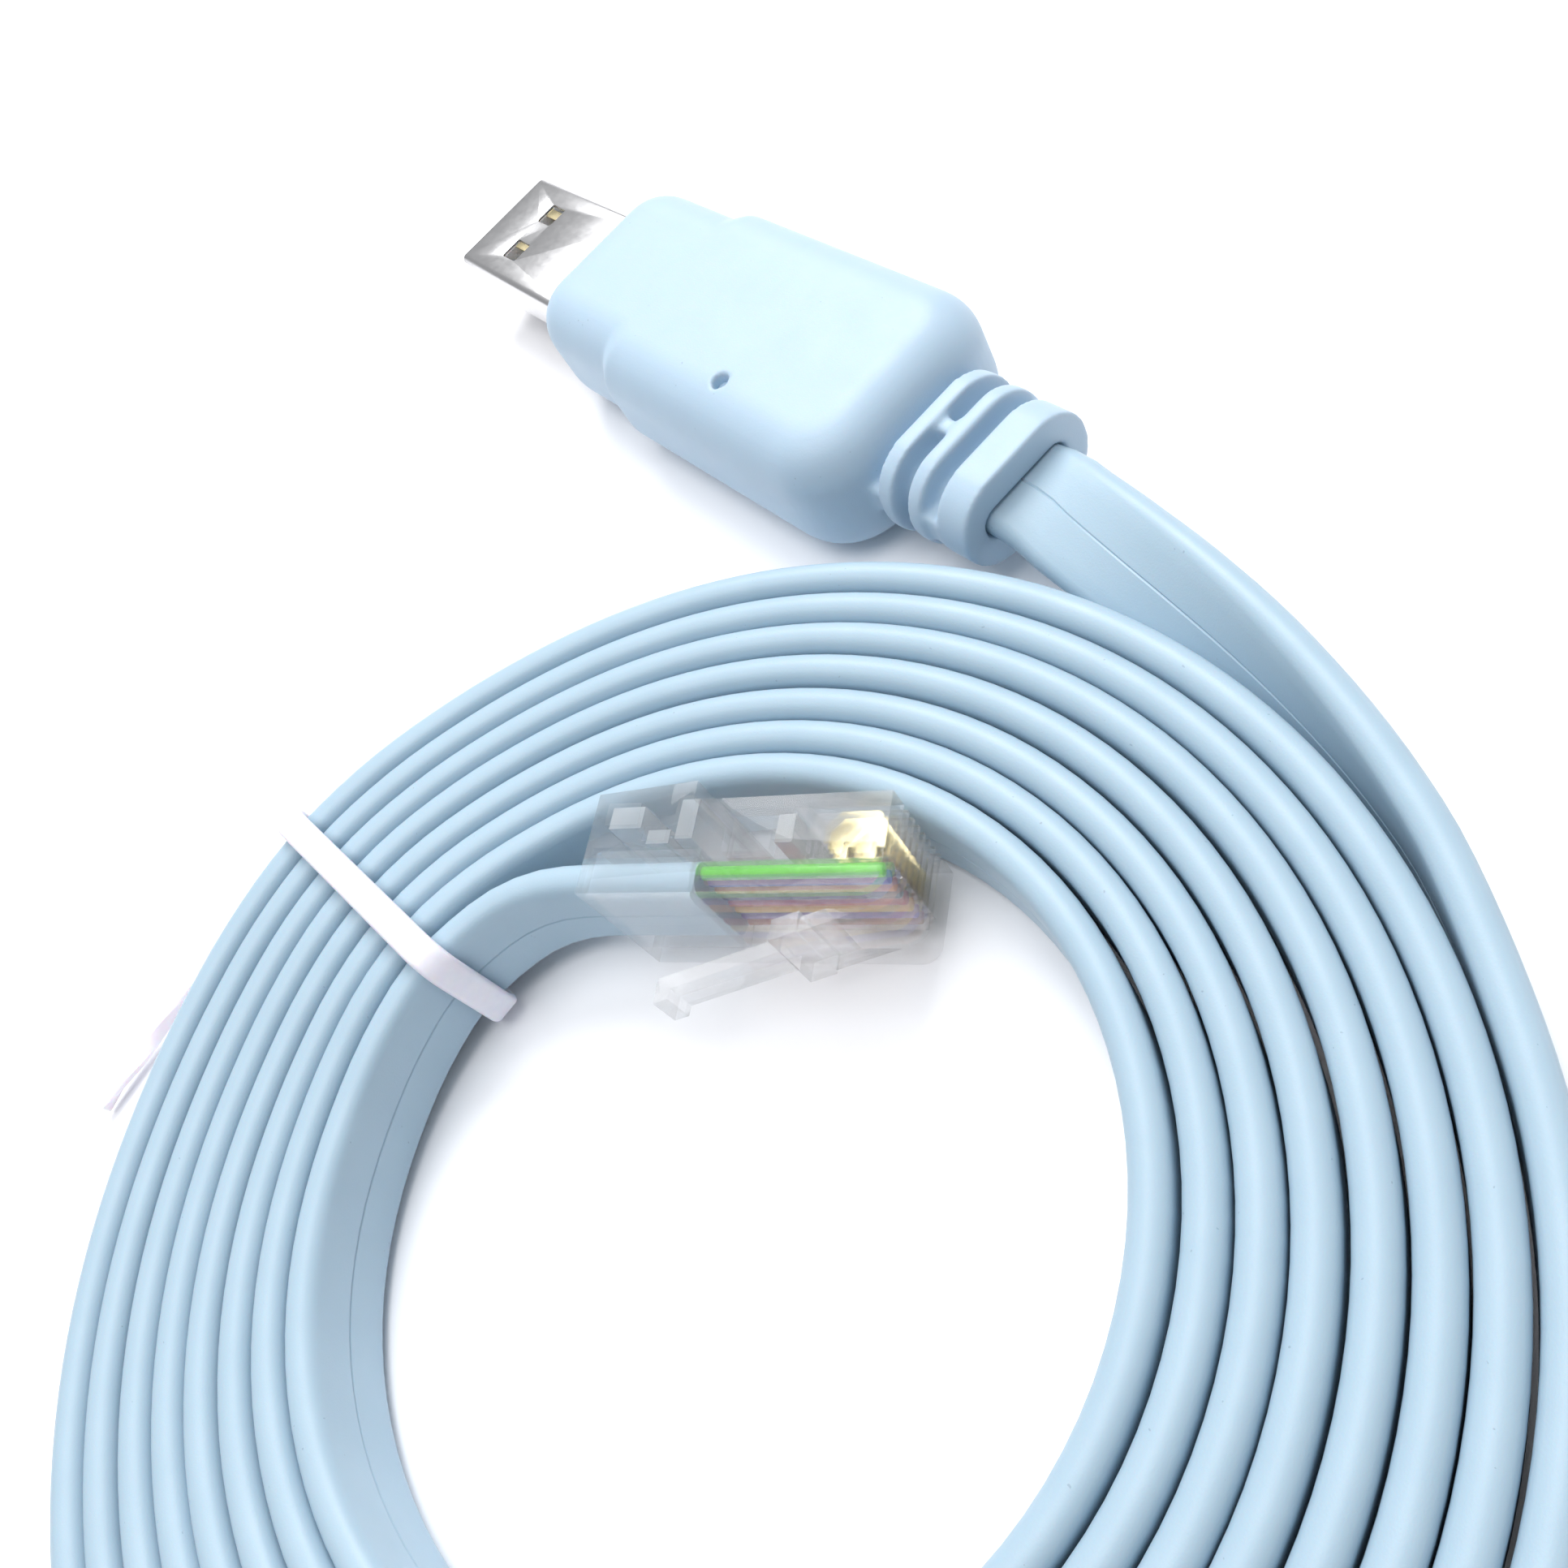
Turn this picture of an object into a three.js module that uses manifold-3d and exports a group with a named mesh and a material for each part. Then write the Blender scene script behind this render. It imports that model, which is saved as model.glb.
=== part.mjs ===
// Flat console cable: a moulded housing with a USB plug on one end, an eight-way modular plug
// on the other, and the flat lead between them wound on edge into one coil with a tie round it.
// Millimetres, +Z up, the table at z = 0. X runs along the housing towards the USB plug, and
// the origin is under the middle of the housing and its plug.
import * as THREE from 'three';
import { mergeVertices } from 'three/addons/utils/BufferGeometryUtils.js';
import Module from 'manifold-3d';

// Clearance between two pieces that touch on the real cable, and how far two shapes that are
// joined or cut run into each other
const gap = 0.3;
const overlap = 0.5;
const turn = 2 * Math.PI;
const up = new THREE.Vector3(0, 0, 1);

// Flat lead: eight cores side by side in one jacket
const jacketWidth = 8.2;
const jacketThick = 2.4;
const jacketStep = 4;
const jacketSegments = 5;

// Housing, its neck, and the strain relief behind it
const housingWidth = 20.8;
const housingHeight = 12;
const housingLength = 44.4;
const housingEdge = 4.2;
const housingEdgeSegments = 4;
const shoulderRadius = 6;
const neckWidth = 18.6;
const neckLength = 12.8;
const neckStep = 1.5;
const noseRadius = 4.6;
const cornerSegments = 4;
const mouldHoleRadius = 0.7;
const mouldHoleDepth = 1.6;
const mouldHoleFromShoulder = 15.6;
const mouldHoleAside = 6.2;
const mouldHoleSides = 10;
const reliefLength = 10.2;
const reliefWall = 0.9;
const ribWidth = 13.4;
const ribHeight = 8.4;
const ribThick = 1.5;
const ribTaper = 0.3;
const ovalSegments = 6;
const collarThick = 3.1;
const collarWidth = 12.8;
const collarHeight = 7.8;
const grooveWidth = 1.2;
const slotWidth = 1.45;
const bridgeWidth = 1.3;
const bridgeInset = 0.3;
const sideBridgeDepth = 2.1;

// USB plug: a folded steel shell with an insulator and four contacts in it
const shellWidth = 12;
const shellHeight = 4.5;
const shellLength = 18.75;
const shellWall = 0.35;
const shellWindow = 2.3;
const shellWindowSpacing = 5;
const shellWindowFromFront = 7.5;
const tongueHeight = 1.9;
const tongueSetback = 1.15;
const tongueRoot = 3.15;
const usbContactWidth = 1;
const usbContactThick = 0.2;
const usbContactFromRoot = 0.95;
const usbContactSetback = 1;
const usbContactPositions = [-3.5, -1, 1, 3.5];

// Modular plug, measured from its rear face: x forwards, y from the latch side to the contacts
const plugLength = 21.3;
const plugWidth = 11.7;
const plugBlockLength = 7.4;
const plugRearDepth = 7.3;
const plugBlockDepth = 8;
const plugNoseDepth = 6.6;
const plugNoseRadius = 1.3;
const plugX = -36.63;
const plugY = 42.23;
const plugTurn = THREE.MathUtils.degToRad(216.9);
const jacketInPlug = 7.6;
const jacketAcross = 2.15;
const coreCount = 8;
const corePitch = 1.02;
const coreRadius = 0.46;
const coreAcross = 2.35;
const coreFromNose = 0.8;
const coreClearance = 0.16;
const coreSides = 8;
const slotLength = 6.2;
const contactLength = 3.8;
const contactFromNose = 1;
const contactThick = 0.3;
const contactSink = 0.7;
const contactClearance = 0.17;
const crimpFrom = 9.2;
const crimpLength = 3.4;
const crimpWidth = 6.4;
const crimpDepth = 3;
const latchThick = 1;
const latchRoot = 19.6;
const latchBaseEnd = 14.3;
const latchBaseWidth = 6.3;
const latchArmEnd = 5;
const latchArmWidth = 3.1;
const latchSlope = 0.352;

// Coil: a spiral of the lead on edge, its radius growing by one turn's pitch
const coilX = -54.48;
const coilY = 50.6;
const coilRadius = 25.26;
const turnPitch = 2.652;
const coilStart = THREE.MathUtils.degToRad(9.7);
const coilTurns = 7.625;
const spiralZero = THREE.MathUtils.degToRad(-140.3);
const coilSegments = 72;
const coilStepAngle = 0.004;
const turnGrooveDepth = 1.1;
const turnGrooveShare = 0.22;

// Tie: a soft band round the bundle, with its twisted ends lying outside
const tieAngle = THREE.MathUtils.degToRad(4.4);
const tieWidth = 2.5;
const tieThick = 1;
const tieSlack = 0.5;
const tieCorner = 1.6;
const tieCornerSegments = 3;
const tieTailWidth = 1.6;
const tieTailThick = 0.7;
const tieTailSteps = 14;
const tieLift = tieThick + gap;
const tieLiftSpread = 0.34;

// Lead from the collar to the coil, by hand
const housingLeadRoute = [
  [-39, 0.02, 6],
  [-41.8, 0.5, 5.9],
  [-46.7, 1.15, 5.7],
  [-51.7, 1.75, 5.4],
  [-56.65, 2.45, 5.07],
  [-61.55, 3.4, 4.74],
  [-66.4, 4.7, 4.45],
  [-71.1, 6.4, 4.25],
  [-75.6, 8.6, 4.17],
];
// Lead from the modular plug to the coil, by hand
const plugLeadRoute = [
  [-38.54, 38.11, 5.85],
  [-35.34, 40.51, 5.85],
  [-32.94, 42.31, 5.8],
  [-30.85, 44.35, 5.7],
  [-29.35, 46.9, 5.6],
  [-28.6, 49.7, 5.5],
  [-28.35, 52.4, 5.5],
];
// Twisted ends of the tie, by hand
const tieTailRoute = [
  [-7.2, 56.4, 6],
  [-5.6, 59.4, 4.6],
  [-3.6, 62.4, 2.6],
  [-2.2, 66, 1.2],
  [-2.6, 71, 0.7],
  [-4.2, 77, 0.6],
  [-5.6, 83, 0.6],
];

const middle = housingHeight / 2;
const partLength = reliefLength + housingLength + gap + shellLength;
const collarEnd = -partLength / 2;
const shoulder = collarEnd + reliefLength;
const housingFront = shoulder + housingLength;
const shellStart = housingFront + gap;
const shellEnd = shellStart + shellLength;
const coreEnd = plugLength - coreFromNose;
const coilEnd = coilStart + coilTurns * turn;

const wasm = await Module();
wasm.setup();

// A closed geometry as a solid that can be joined and cut
function toSolid(geometry) {
  const plain = geometry.clone();
  plain.deleteAttribute('normal');
  plain.deleteAttribute('uv');
  const merged = mergeVertices(plain, 1e-4);
  return new wasm.Manifold(new wasm.Mesh({
    numProp: 3,
    vertProperties: new Float32Array(merged.attributes.position.array),
    triVerts: new Uint32Array(merged.index.array),
  }));
}

function toGeometry(solid) {
  const mesh = solid.getMesh();
  const geometry = new THREE.BufferGeometry();
  geometry.setAttribute('position', new THREE.BufferAttribute(mesh.vertProperties, 3));
  geometry.setIndex(new THREE.BufferAttribute(mesh.triVerts, 1));
  geometry.computeVertexNormals();
  return geometry;
}

function join(geometries) {
  return geometries.map(toSolid).reduce((sum, next) => sum.add(next));
}

function cut(solid, geometries) {
  return geometries.map(toSolid).reduce((rest, next) => rest.subtract(next), solid);
}

function box(x0, x1, y0, y1, z0, z1) {
  const geometry = new THREE.BoxGeometry(x1 - x0, y1 - y0, z1 - z0);
  return geometry.translate((x0 + x1) / 2, (y0 + y1) / 2, (z0 + z1) / 2);
}

// A box that is as far on both sides of y and of z
function barAlongX(x0, x1, y, halfY, z, halfZ) {
  return box(x0, x1, y - halfY, y + halfY, z - halfZ, z + halfZ);
}

function oval(width, height) {
  const shape = new THREE.Shape();
  const round = height / 2;
  const flat = width / 2 - round;
  shape.absarc(flat, 0, round, -Math.PI / 2, Math.PI / 2);
  shape.absarc(-flat, 0, round, Math.PI / 2, Math.PI * 1.5);
  return shape;
}

function roundedRectangle(x0, x1, y0, y1, radius) {
  const shape = new THREE.Shape();
  shape.absarc(x1 - radius, y0 + radius, radius, -Math.PI / 2, 0);
  shape.absarc(x1 - radius, y1 - radius, radius, 0, Math.PI / 2);
  shape.absarc(x0 + radius, y1 - radius, radius, Math.PI / 2, Math.PI);
  shape.absarc(x0 + radius, y0 + radius, radius, Math.PI, Math.PI * 1.5);
  return shape;
}

// Outline of the housing seen from above, drawn inside its large rounded edges
function housingPlan() {
  const half = housingWidth / 2 - housingEdge;
  const neckHalf = neckWidth / 2 - housingEdge;
  const backRound = shoulderRadius - housingEdge;
  const noseRound = noseRadius - housingEdge;
  const back = shoulder + shoulderRadius;
  const front = housingFront - noseRadius;
  const neckFrom = housingFront - neckLength;
  const plan = new THREE.Shape();
  plan.absarc(back, backRound - half, backRound, Math.PI, Math.PI * 1.5);
  plan.lineTo(neckFrom - neckStep, -half);
  plan.lineTo(neckFrom, -neckHalf);
  plan.absarc(front, noseRound - neckHalf, noseRound, -Math.PI / 2, 0);
  plan.absarc(front, neckHalf - noseRound, noseRound, 0, Math.PI / 2);
  plan.lineTo(neckFrom, neckHalf);
  plan.lineTo(neckFrom - neckStep, half);
  plan.absarc(back, half - backRound, backRound, Math.PI / 2, Math.PI);
  return plan;
}

function housing() {
  const body = new THREE.ExtrudeGeometry(housingPlan(), {
    depth: housingHeight - 2 * housingEdge,
    bevelThickness: housingEdge,
    bevelSize: housingEdge,
    bevelSegments: housingEdgeSegments,
    curveSegments: cornerSegments,
  });
  body.translate(0, 0, housingEdge);
  const mouldHole = new THREE.CylinderGeometry(
    mouldHoleRadius, mouldHoleRadius, 2 * mouldHoleDepth, mouldHoleSides);
  mouldHole.rotateX(Math.PI / 2);
  mouldHole.translate(shoulder + mouldHoleFromShoulder, mouldHoleAside, housingHeight);
  return toGeometry(cut(join([body, ...strainRelief()]), [mouldHole]));
}

// An oval slice of the strain relief, standing across X between x0 and x1
function ovalSlice(x0, x1, width, height) {
  const geometry = new THREE.ExtrudeGeometry(oval(width, height), {
    depth: x1 - x0,
    bevelEnabled: false,
    curveSegments: ovalSegments,
  });
  geometry.rotateX(Math.PI / 2);
  geometry.rotateZ(Math.PI / 2);
  return geometry.translate(x0, 0, middle);
}

// Core, ribs and collar, with bridges that tie them in turn at the sides and in the middle
function strainRelief() {
  const rib1End = shoulder - grooveWidth;
  const rib1Start = rib1End - ribThick;
  const rib2End = rib1Start - slotWidth;
  const rib2Start = rib2End - ribThick;
  const collarStart = collarEnd + collarThick;
  const inHousing = shoulder + shoulderRadius;
  const pieces = [
    ovalSlice(collarEnd, inHousing, jacketWidth + 2 * reliefWall, jacketThick + 2 * reliefWall),
    ovalSlice(rib1Start, rib1End, ribWidth, ribHeight),
    ovalSlice(rib2Start, rib2End, ribWidth - ribTaper, ribHeight - ribTaper),
    ovalSlice(collarEnd, collarStart, collarWidth, collarHeight),
  ];
  const halfDepth = sideBridgeDepth / 2;
  const sideY = collarWidth / 2 - bridgeInset - halfDepth;
  const sideBridges = [
    [rib1End - overlap, shoulder + shoulderRadius - noseRadius],
    [collarStart - overlap, rib2Start + overlap],
  ];
  for (const [x0, x1] of sideBridges) {
    pieces.push(barAlongX(x0, x1, sideY, halfDepth, middle, bridgeWidth));
    pieces.push(barAlongX(x0, x1, -sideY, halfDepth, middle, bridgeWidth));
  }
  const middleReach = collarHeight / 2 - bridgeInset;
  pieces.push(barAlongX(
    rib2End - overlap, rib1Start + overlap, 0, bridgeWidth / 2, middle, middleReach));
  return pieces;
}

function usbShell() {
  const halfWidth = shellWidth / 2;
  const halfHeight = shellHeight / 2;
  const outer = barAlongX(shellStart, shellEnd, 0, halfWidth, middle, halfHeight);
  const inner = barAlongX(
    shellStart - overlap, shellEnd + overlap, 0, halfWidth - shellWall, middle, halfHeight - shellWall);
  const windowX = shellEnd - shellWindowFromFront;
  const windows = [-1, 1].map((side) => barAlongX(
    windowX, windowX + shellWindow, side * shellWindowSpacing / 2, shellWindow / 2, middle, shellHeight));
  return toGeometry(cut(toSolid(outer), [inner, ...windows]));
}

const tongueBottom = middle - shellHeight / 2 + shellWall + gap;
const tongueTop = tongueBottom + tongueHeight;
const tongueEnd = shellEnd - tongueSetback;

function usbTongue() {
  const halfWidth = shellWidth / 2 - shellWall - gap;
  const rootTop = middle + shellHeight / 2 - shellWall - gap;
  const tongue = box(shellStart, tongueEnd, -halfWidth, halfWidth, tongueBottom, tongueTop);
  const root = box(
    shellStart, shellStart + tongueRoot, -halfWidth, halfWidth, tongueBottom, rootTop);
  return toGeometry(join([tongue, root]));
}

function usbContact(y) {
  const x0 = shellStart + tongueRoot + usbContactFromRoot;
  const x1 = tongueEnd - usbContactSetback;
  const z = tongueTop + gap + usbContactThick / 2;
  return barAlongX(x0, x1, y, usbContactWidth / 2, z, usbContactThick / 2);
}

// A shape drawn in the plug's x and y as a solid of some width, in the middle of the plug
function acrossPlug(shape, width, curveSegments) {
  const geometry = new THREE.ExtrudeGeometry(shape, { depth: width, bevelEnabled: false, curveSegments });
  return geometry.translate(0, 0, (plugWidth - width) / 2);
}

// Side outline of the modular plug
function plugBlank() {
  const shape = new THREE.Shape();
  const noseX = plugLength - plugNoseRadius;
  shape.moveTo(0, 0);
  shape.lineTo(noseX, 0);
  shape.absarc(noseX, plugNoseRadius, plugNoseRadius, -Math.PI / 2, 0);
  shape.lineTo(plugLength, plugNoseDepth);
  shape.lineTo(plugBlockLength, plugNoseDepth);
  shape.lineTo(plugBlockLength, plugBlockDepth);
  shape.lineTo(0, plugRearDepth);
  return acrossPlug(shape, plugWidth, cornerSegments);
}

// A stretch of the latch, which leaves the nose and slopes back away from the plug
function latchArm(x0, x1, width) {
  const slopeAt = (x) => (x - latchRoot) * latchSlope;
  const shape = new THREE.Shape();
  shape.moveTo(x0, slopeAt(x0));
  shape.lineTo(x1, slopeAt(x1));
  shape.lineTo(x1, slopeAt(x1) + latchThick);
  shape.lineTo(x0, slopeAt(x0) + latchThick);
  return acrossPlug(shape, width, 1);
}

function coreHeights() {
  const heights = [];
  for (let i = 0; i < coreCount; i++) {
    heights.push(plugWidth / 2 + ((coreCount - 1) / 2 - i) * corePitch);
  }
  return heights;
}

// A channel through the plug between x0 and x1, on both sides of y
function plugChannel(x0, x1, y, halfY, halfZ) {
  return barAlongX(x0, x1, y, halfY, plugWidth / 2, halfZ);
}

function plugBody() {
  const coreHalf = coreRadius + coreClearance;
  const coresHalf = (coreCount - 1) * corePitch / 2 + coreHalf;
  const slotHalf = contactThick / 2 + contactClearance;
  const outside = plugNoseDepth + overlap;
  const crimpHalf = (crimpDepth + overlap) / 2;
  const cuts = [
    plugChannel(
      -overlap, jacketInPlug + gap, jacketAcross, jacketThick / 2 + gap, jacketWidth / 2 + gap),
    plugChannel(jacketInPlug, coreEnd + gap, coreAcross, coreHalf, coresHalf),
    plugChannel(crimpFrom, crimpFrom + crimpLength, outside - crimpHalf, crimpHalf, crimpWidth / 2),
  ];
  for (const z of coreHeights()) {
    cuts.push(box(
      plugLength - slotLength, plugLength + overlap, coreAcross, outside, z - slotHalf, z + slotHalf));
  }
  const body = join([
    plugBlank(),
    latchArm(latchBaseEnd, latchRoot, latchBaseWidth),
    latchArm(latchArmEnd, latchBaseEnd + overlap, latchArmWidth),
  ]);
  return toGeometry(cut(body, cuts));
}

function plugContact(z) {
  const x1 = plugLength - contactFromNose;
  const bottom = coreAcross + coreRadius + gap;
  const top = plugNoseDepth - contactSink;
  return box(x1 - contactLength, x1, bottom, top, z - contactThick / 2, z + contactThick / 2);
}

function plugCore(z) {
  const x0 = jacketInPlug + gap;
  const geometry = new THREE.CylinderGeometry(coreRadius, coreRadius, coreEnd - x0, coreSides);
  geometry.rotateZ(Math.PI / 2);
  return geometry.translate((x0 + coreEnd) / 2, coreAcross, z);
}

// A route for a flat lead. The lead's width turns from lying flat to standing on edge by rollAt,
// which is given the share of the way along.
class FlatLeadRoute extends THREE.CatmullRomCurve3 {
  constructor(points, rollAt) {
    super(points.map((p) => new THREE.Vector3(...p)), false, 'centripetal');
    this.rollAt = rollAt;
  }

  computeFrenetFrames(segments) {
    const tangents = [];
    const normals = [];
    const binormals = [];
    for (let i = 0; i <= segments; i++) {
      const share = i / segments;
      const tangent = this.getTangentAt(share);
      const side = new THREE.Vector3().crossVectors(tangent, up).normalize();
      const roll = this.rollAt(share);
      const width = side.multiplyScalar(Math.cos(roll)).addScaledVector(up, Math.sin(roll));
      width.addScaledVector(tangent, -width.dot(tangent)).normalize();
      tangents.push(tangent);
      normals.push(width);
      binormals.push(new THREE.Vector3().crossVectors(tangent, width));
    }
    return { tangents, normals, binormals };
  }
}

function leadGeometry(route) {
  return new THREE.ExtrudeGeometry(oval(jacketWidth, jacketThick), {
    steps: Math.ceil(route.getLength() / jacketStep),
    extrudePath: route,
    bevelEnabled: false,
    curveSegments: jacketSegments,
  });
}

// How far the bundle is lifted where the tie passes under it
function liftAt(angle) {
  const away = Math.atan2(Math.sin(angle - tieAngle), Math.cos(angle - tieAngle));
  return tieLift * Math.exp(-((away / tieLiftSpread) ** 2));
}

function spiralRadius(angle) {
  return coilRadius + turnPitch * (angle - spiralZero) / turn;
}

// Point on the middle of the lead in the coil, at an angle counted from the coil's first turn
function spiralPoint(angle) {
  const radius = spiralRadius(angle);
  const x = coilX + radius * Math.cos(angle);
  const y = coilY + radius * Math.sin(angle);
  return [x, y, jacketWidth / 2 + liftAt(angle)];
}

// Roll of the lead by the housing, from on edge at the coil to flat at the collar
function standUp(share) {
  return Math.PI / 2 * Math.cos(Math.PI / 2 * share);
}

function housingLead() {
  const exit = [collarEnd - gap, 0, middle];
  const endAngle = coilEnd + 2 * gap / spiralRadius(coilEnd);
  const points = [exit, ...housingLeadRoute, spiralPoint(endAngle)].reverse();
  return leadGeometry(new FlatLeadRoute(points, standUp));
}

function plugLead() {
  const inPlug = new THREE.Vector3(jacketInPlug, jacketAcross, plugWidth / 2);
  inPlug.applyAxisAngle(up, plugTurn).add(new THREE.Vector3(plugX, plugY, 0));
  const endAngle = coilStart - 2 * gap / spiralRadius(coilStart);
  const points = [inPlug.toArray(), ...plugLeadRoute, spiralPoint(endAngle)];
  return leadGeometry(new FlatLeadRoute(points, () => Math.PI / 2));
}

// Section of the coil as closed points (share of the way out, share of the height), grooved
// between the turns on top
function coilProfile(turns) {
  const edge = turnGrooveDepth / jacketWidth;
  const corner = turnGrooveShare / turns;
  const points = [
    new THREE.Vector2(1 - corner, 0),
    new THREE.Vector2(1, edge),
    new THREE.Vector2(1, 1 - edge),
  ];
  for (let i = turns - 1; i >= 0; i--) {
    points.push(new THREE.Vector2((i + 1) / turns - corner, 1));
    points.push(new THREE.Vector2(i / turns + corner, 1));
    points.push(new THREE.Vector2(i / turns, 1 - edge));
  }
  points.push(new THREE.Vector2(0, edge));
  points.push(new THREE.Vector2(corner, 0));
  points.push(new THREE.Vector2(1 - corner, 0));
  return points;
}

// The ring's angles: from the coil's outer end round to its inner end, and on to the outer end
// again, with a narrow step at each where a turn stops or begins
function coilAngles() {
  const start = coilEnd - turn * Math.ceil(coilTurns);
  const split = Math.round(coilSegments * (coilStart - start) / turn);
  const angles = [];
  for (let i = 0; i < split; i++) {
    angles.push(start + (coilStart - coilStepAngle - start) * i / (split - 1));
  }
  for (let i = split; i < coilSegments; i++) {
    const share = (i - split) / (coilSegments - 1 - split);
    angles.push(coilStart + (start + turn - coilStepAngle - coilStart) * share);
  }
  return { angles, split };
}

// A lathed ring whose points are moved onto the coil's spiral outline
function coilRing() {
  const turns = Math.ceil(coilTurns);
  const profile = coilProfile(turns);
  const ring = new THREE.LatheGeometry(profile, coilSegments);
  const { angles, split } = coilAngles();
  const half = jacketThick / 2;
  const position = ring.attributes.position;
  for (let i = 0; i <= coilSegments; i++) {
    const index = i % coilSegments;
    const angle = angles[index];
    const innerTurn = index < split ? angle + turn : angle;
    const inner = spiralRadius(innerTurn) - half;
    const outer = spiralRadius(angle + turn * (turns - 1)) + half;
    const lift = liftAt(angle);
    for (let j = 0; j < profile.length; j++) {
      const radius = inner + (outer - inner) * profile[j].x;
      const x = coilX + radius * Math.cos(angle);
      const y = coilY + radius * Math.sin(angle);
      position.setXYZ(i * profile.length + j, x, y, lift + jacketWidth * profile[j].y);
    }
  }
  return toGeometry(toSolid(ring));
}

function tie() {
  const inner = spiralRadius(tieAngle) - jacketThick / 2 - tieSlack;
  const outer = spiralRadius(tieAngle + turn * Math.floor(coilTurns)) + jacketThick / 2 + gap;
  const bottom = tieLift - gap;
  const top = tieLift + jacketWidth + gap;
  const band = roundedRectangle(
    inner - tieThick, outer + tieThick, bottom - tieThick, top + tieThick, tieCorner + tieThick);
  band.holes.push(roundedRectangle(inner, outer, bottom, top, tieCorner));
  const ring = new THREE.ExtrudeGeometry(band, {
    depth: tieWidth,
    bevelEnabled: false,
    curveSegments: tieCornerSegments,
  });
  ring.translate(0, 0, -tieWidth / 2);
  ring.rotateX(Math.PI / 2);
  ring.rotateZ(tieAngle);
  ring.translate(coilX, coilY, 0);
  const start = new THREE.Vector3(outer + tieThick / 2, 0, top - tieCorner);
  start.applyAxisAngle(up, tieAngle).add(new THREE.Vector3(coilX, coilY, 0));
  const halfWidth = tieTailWidth / 2;
  const halfThick = tieTailThick / 2;
  const section = new THREE.Shape();
  section.moveTo(-halfWidth, -halfThick);
  section.lineTo(halfWidth, -halfThick);
  section.lineTo(halfWidth, halfThick);
  section.lineTo(-halfWidth, halfThick);
  const tail = new THREE.ExtrudeGeometry(section, {
    steps: tieTailSteps,
    extrudePath: new FlatLeadRoute([start.toArray(), ...tieTailRoute], () => 0),
    bevelEnabled: false,
  });
  return toGeometry(join([ring, tail]));
}

const jacketBlue = { color: 0xa9c8e0, roughness: 0.5, metalness: 0 };
const clearPlastic = { color: 0xeef2f8, roughness: 0.1, metalness: 0, transparent: true, opacity: 0.4 };
const steel = { color: 0xc9ccd0, roughness: 0.3, metalness: 1 };
const gold = { color: 0xe8c860, roughness: 0.25, metalness: 1 };
const white = { color: 0xf2f2f4, roughness: 0.6, metalness: 0 };
const coreColours = [0x4fae3c, 0x3f55b0, 0xc9683c, 0x3a4150, 0xc0392f, 0xc99a3a, 0x7a62b4, 0xb06a4c];

function named(name, geometry, finish) {
  const mesh = new THREE.Mesh(geometry, new THREE.MeshStandardMaterial(finish));
  mesh.name = name;
  return mesh;
}

const part = new THREE.Group();
part.add(named('moulded_housing', housing(), jacketBlue));
part.add(named('usb_shell', usbShell(), steel));
part.add(named('usb_insulator', usbTongue(), white));
usbContactPositions.forEach((y, i) => part.add(named(`usb_contact_${i + 1}`, usbContact(y), gold)));
part.add(named('housing_lead', housingLead(), jacketBlue));
part.add(named('coiled_lead', coilRing(), jacketBlue));
part.add(named('plug_lead', plugLead(), jacketBlue));
part.add(named('bundle_tie', tie(), white));

const plug = new THREE.Group();
plug.position.set(plugX, plugY, 0);
plug.rotation.z = plugTurn;
plug.add(named('modular_plug', plugBody(), clearPlastic));
coreHeights().forEach((z, i) => {
  const coreFinish = { color: coreColours[i], roughness: 0.4, metalness: 0 };
  plug.add(named(`plug_contact_${i + 1}`, plugContact(z), gold));
  plug.add(named(`core_wire_${i + 1}`, plugCore(z), coreFinish));
});
part.add(plug);

export default part;
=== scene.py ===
# %% [markdown]
# A flat console cable on a white table: a soft blue housing with a USB plug, a clear modular plug,
# and one flat lead between them, wound on edge into a coil with a white tie round it.
# The imported model is loaded first. It is the frame that every piece below is fitted to.

# %% The frame
import math

import bpy
from mathutils import Matrix, Vector


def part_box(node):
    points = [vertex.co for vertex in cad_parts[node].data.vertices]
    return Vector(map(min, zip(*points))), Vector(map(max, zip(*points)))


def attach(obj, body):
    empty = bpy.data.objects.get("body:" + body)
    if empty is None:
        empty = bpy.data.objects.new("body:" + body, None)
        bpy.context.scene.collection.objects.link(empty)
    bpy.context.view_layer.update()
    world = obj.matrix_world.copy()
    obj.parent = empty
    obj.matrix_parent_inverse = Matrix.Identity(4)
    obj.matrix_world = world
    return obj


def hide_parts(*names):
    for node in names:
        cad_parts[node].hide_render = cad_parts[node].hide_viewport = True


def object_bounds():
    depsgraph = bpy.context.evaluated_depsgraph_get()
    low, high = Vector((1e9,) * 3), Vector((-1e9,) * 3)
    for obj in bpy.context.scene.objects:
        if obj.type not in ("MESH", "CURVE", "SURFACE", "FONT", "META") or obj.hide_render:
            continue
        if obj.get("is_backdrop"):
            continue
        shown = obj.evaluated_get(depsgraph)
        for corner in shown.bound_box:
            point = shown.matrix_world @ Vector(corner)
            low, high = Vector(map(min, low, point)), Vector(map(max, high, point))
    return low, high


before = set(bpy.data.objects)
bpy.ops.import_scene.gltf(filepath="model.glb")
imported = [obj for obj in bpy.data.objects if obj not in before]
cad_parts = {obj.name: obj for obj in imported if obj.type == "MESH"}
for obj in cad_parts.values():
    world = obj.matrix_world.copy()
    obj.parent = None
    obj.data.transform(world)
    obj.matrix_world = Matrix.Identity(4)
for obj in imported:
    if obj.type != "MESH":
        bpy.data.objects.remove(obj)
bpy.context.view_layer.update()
MM = 0.001

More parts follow.
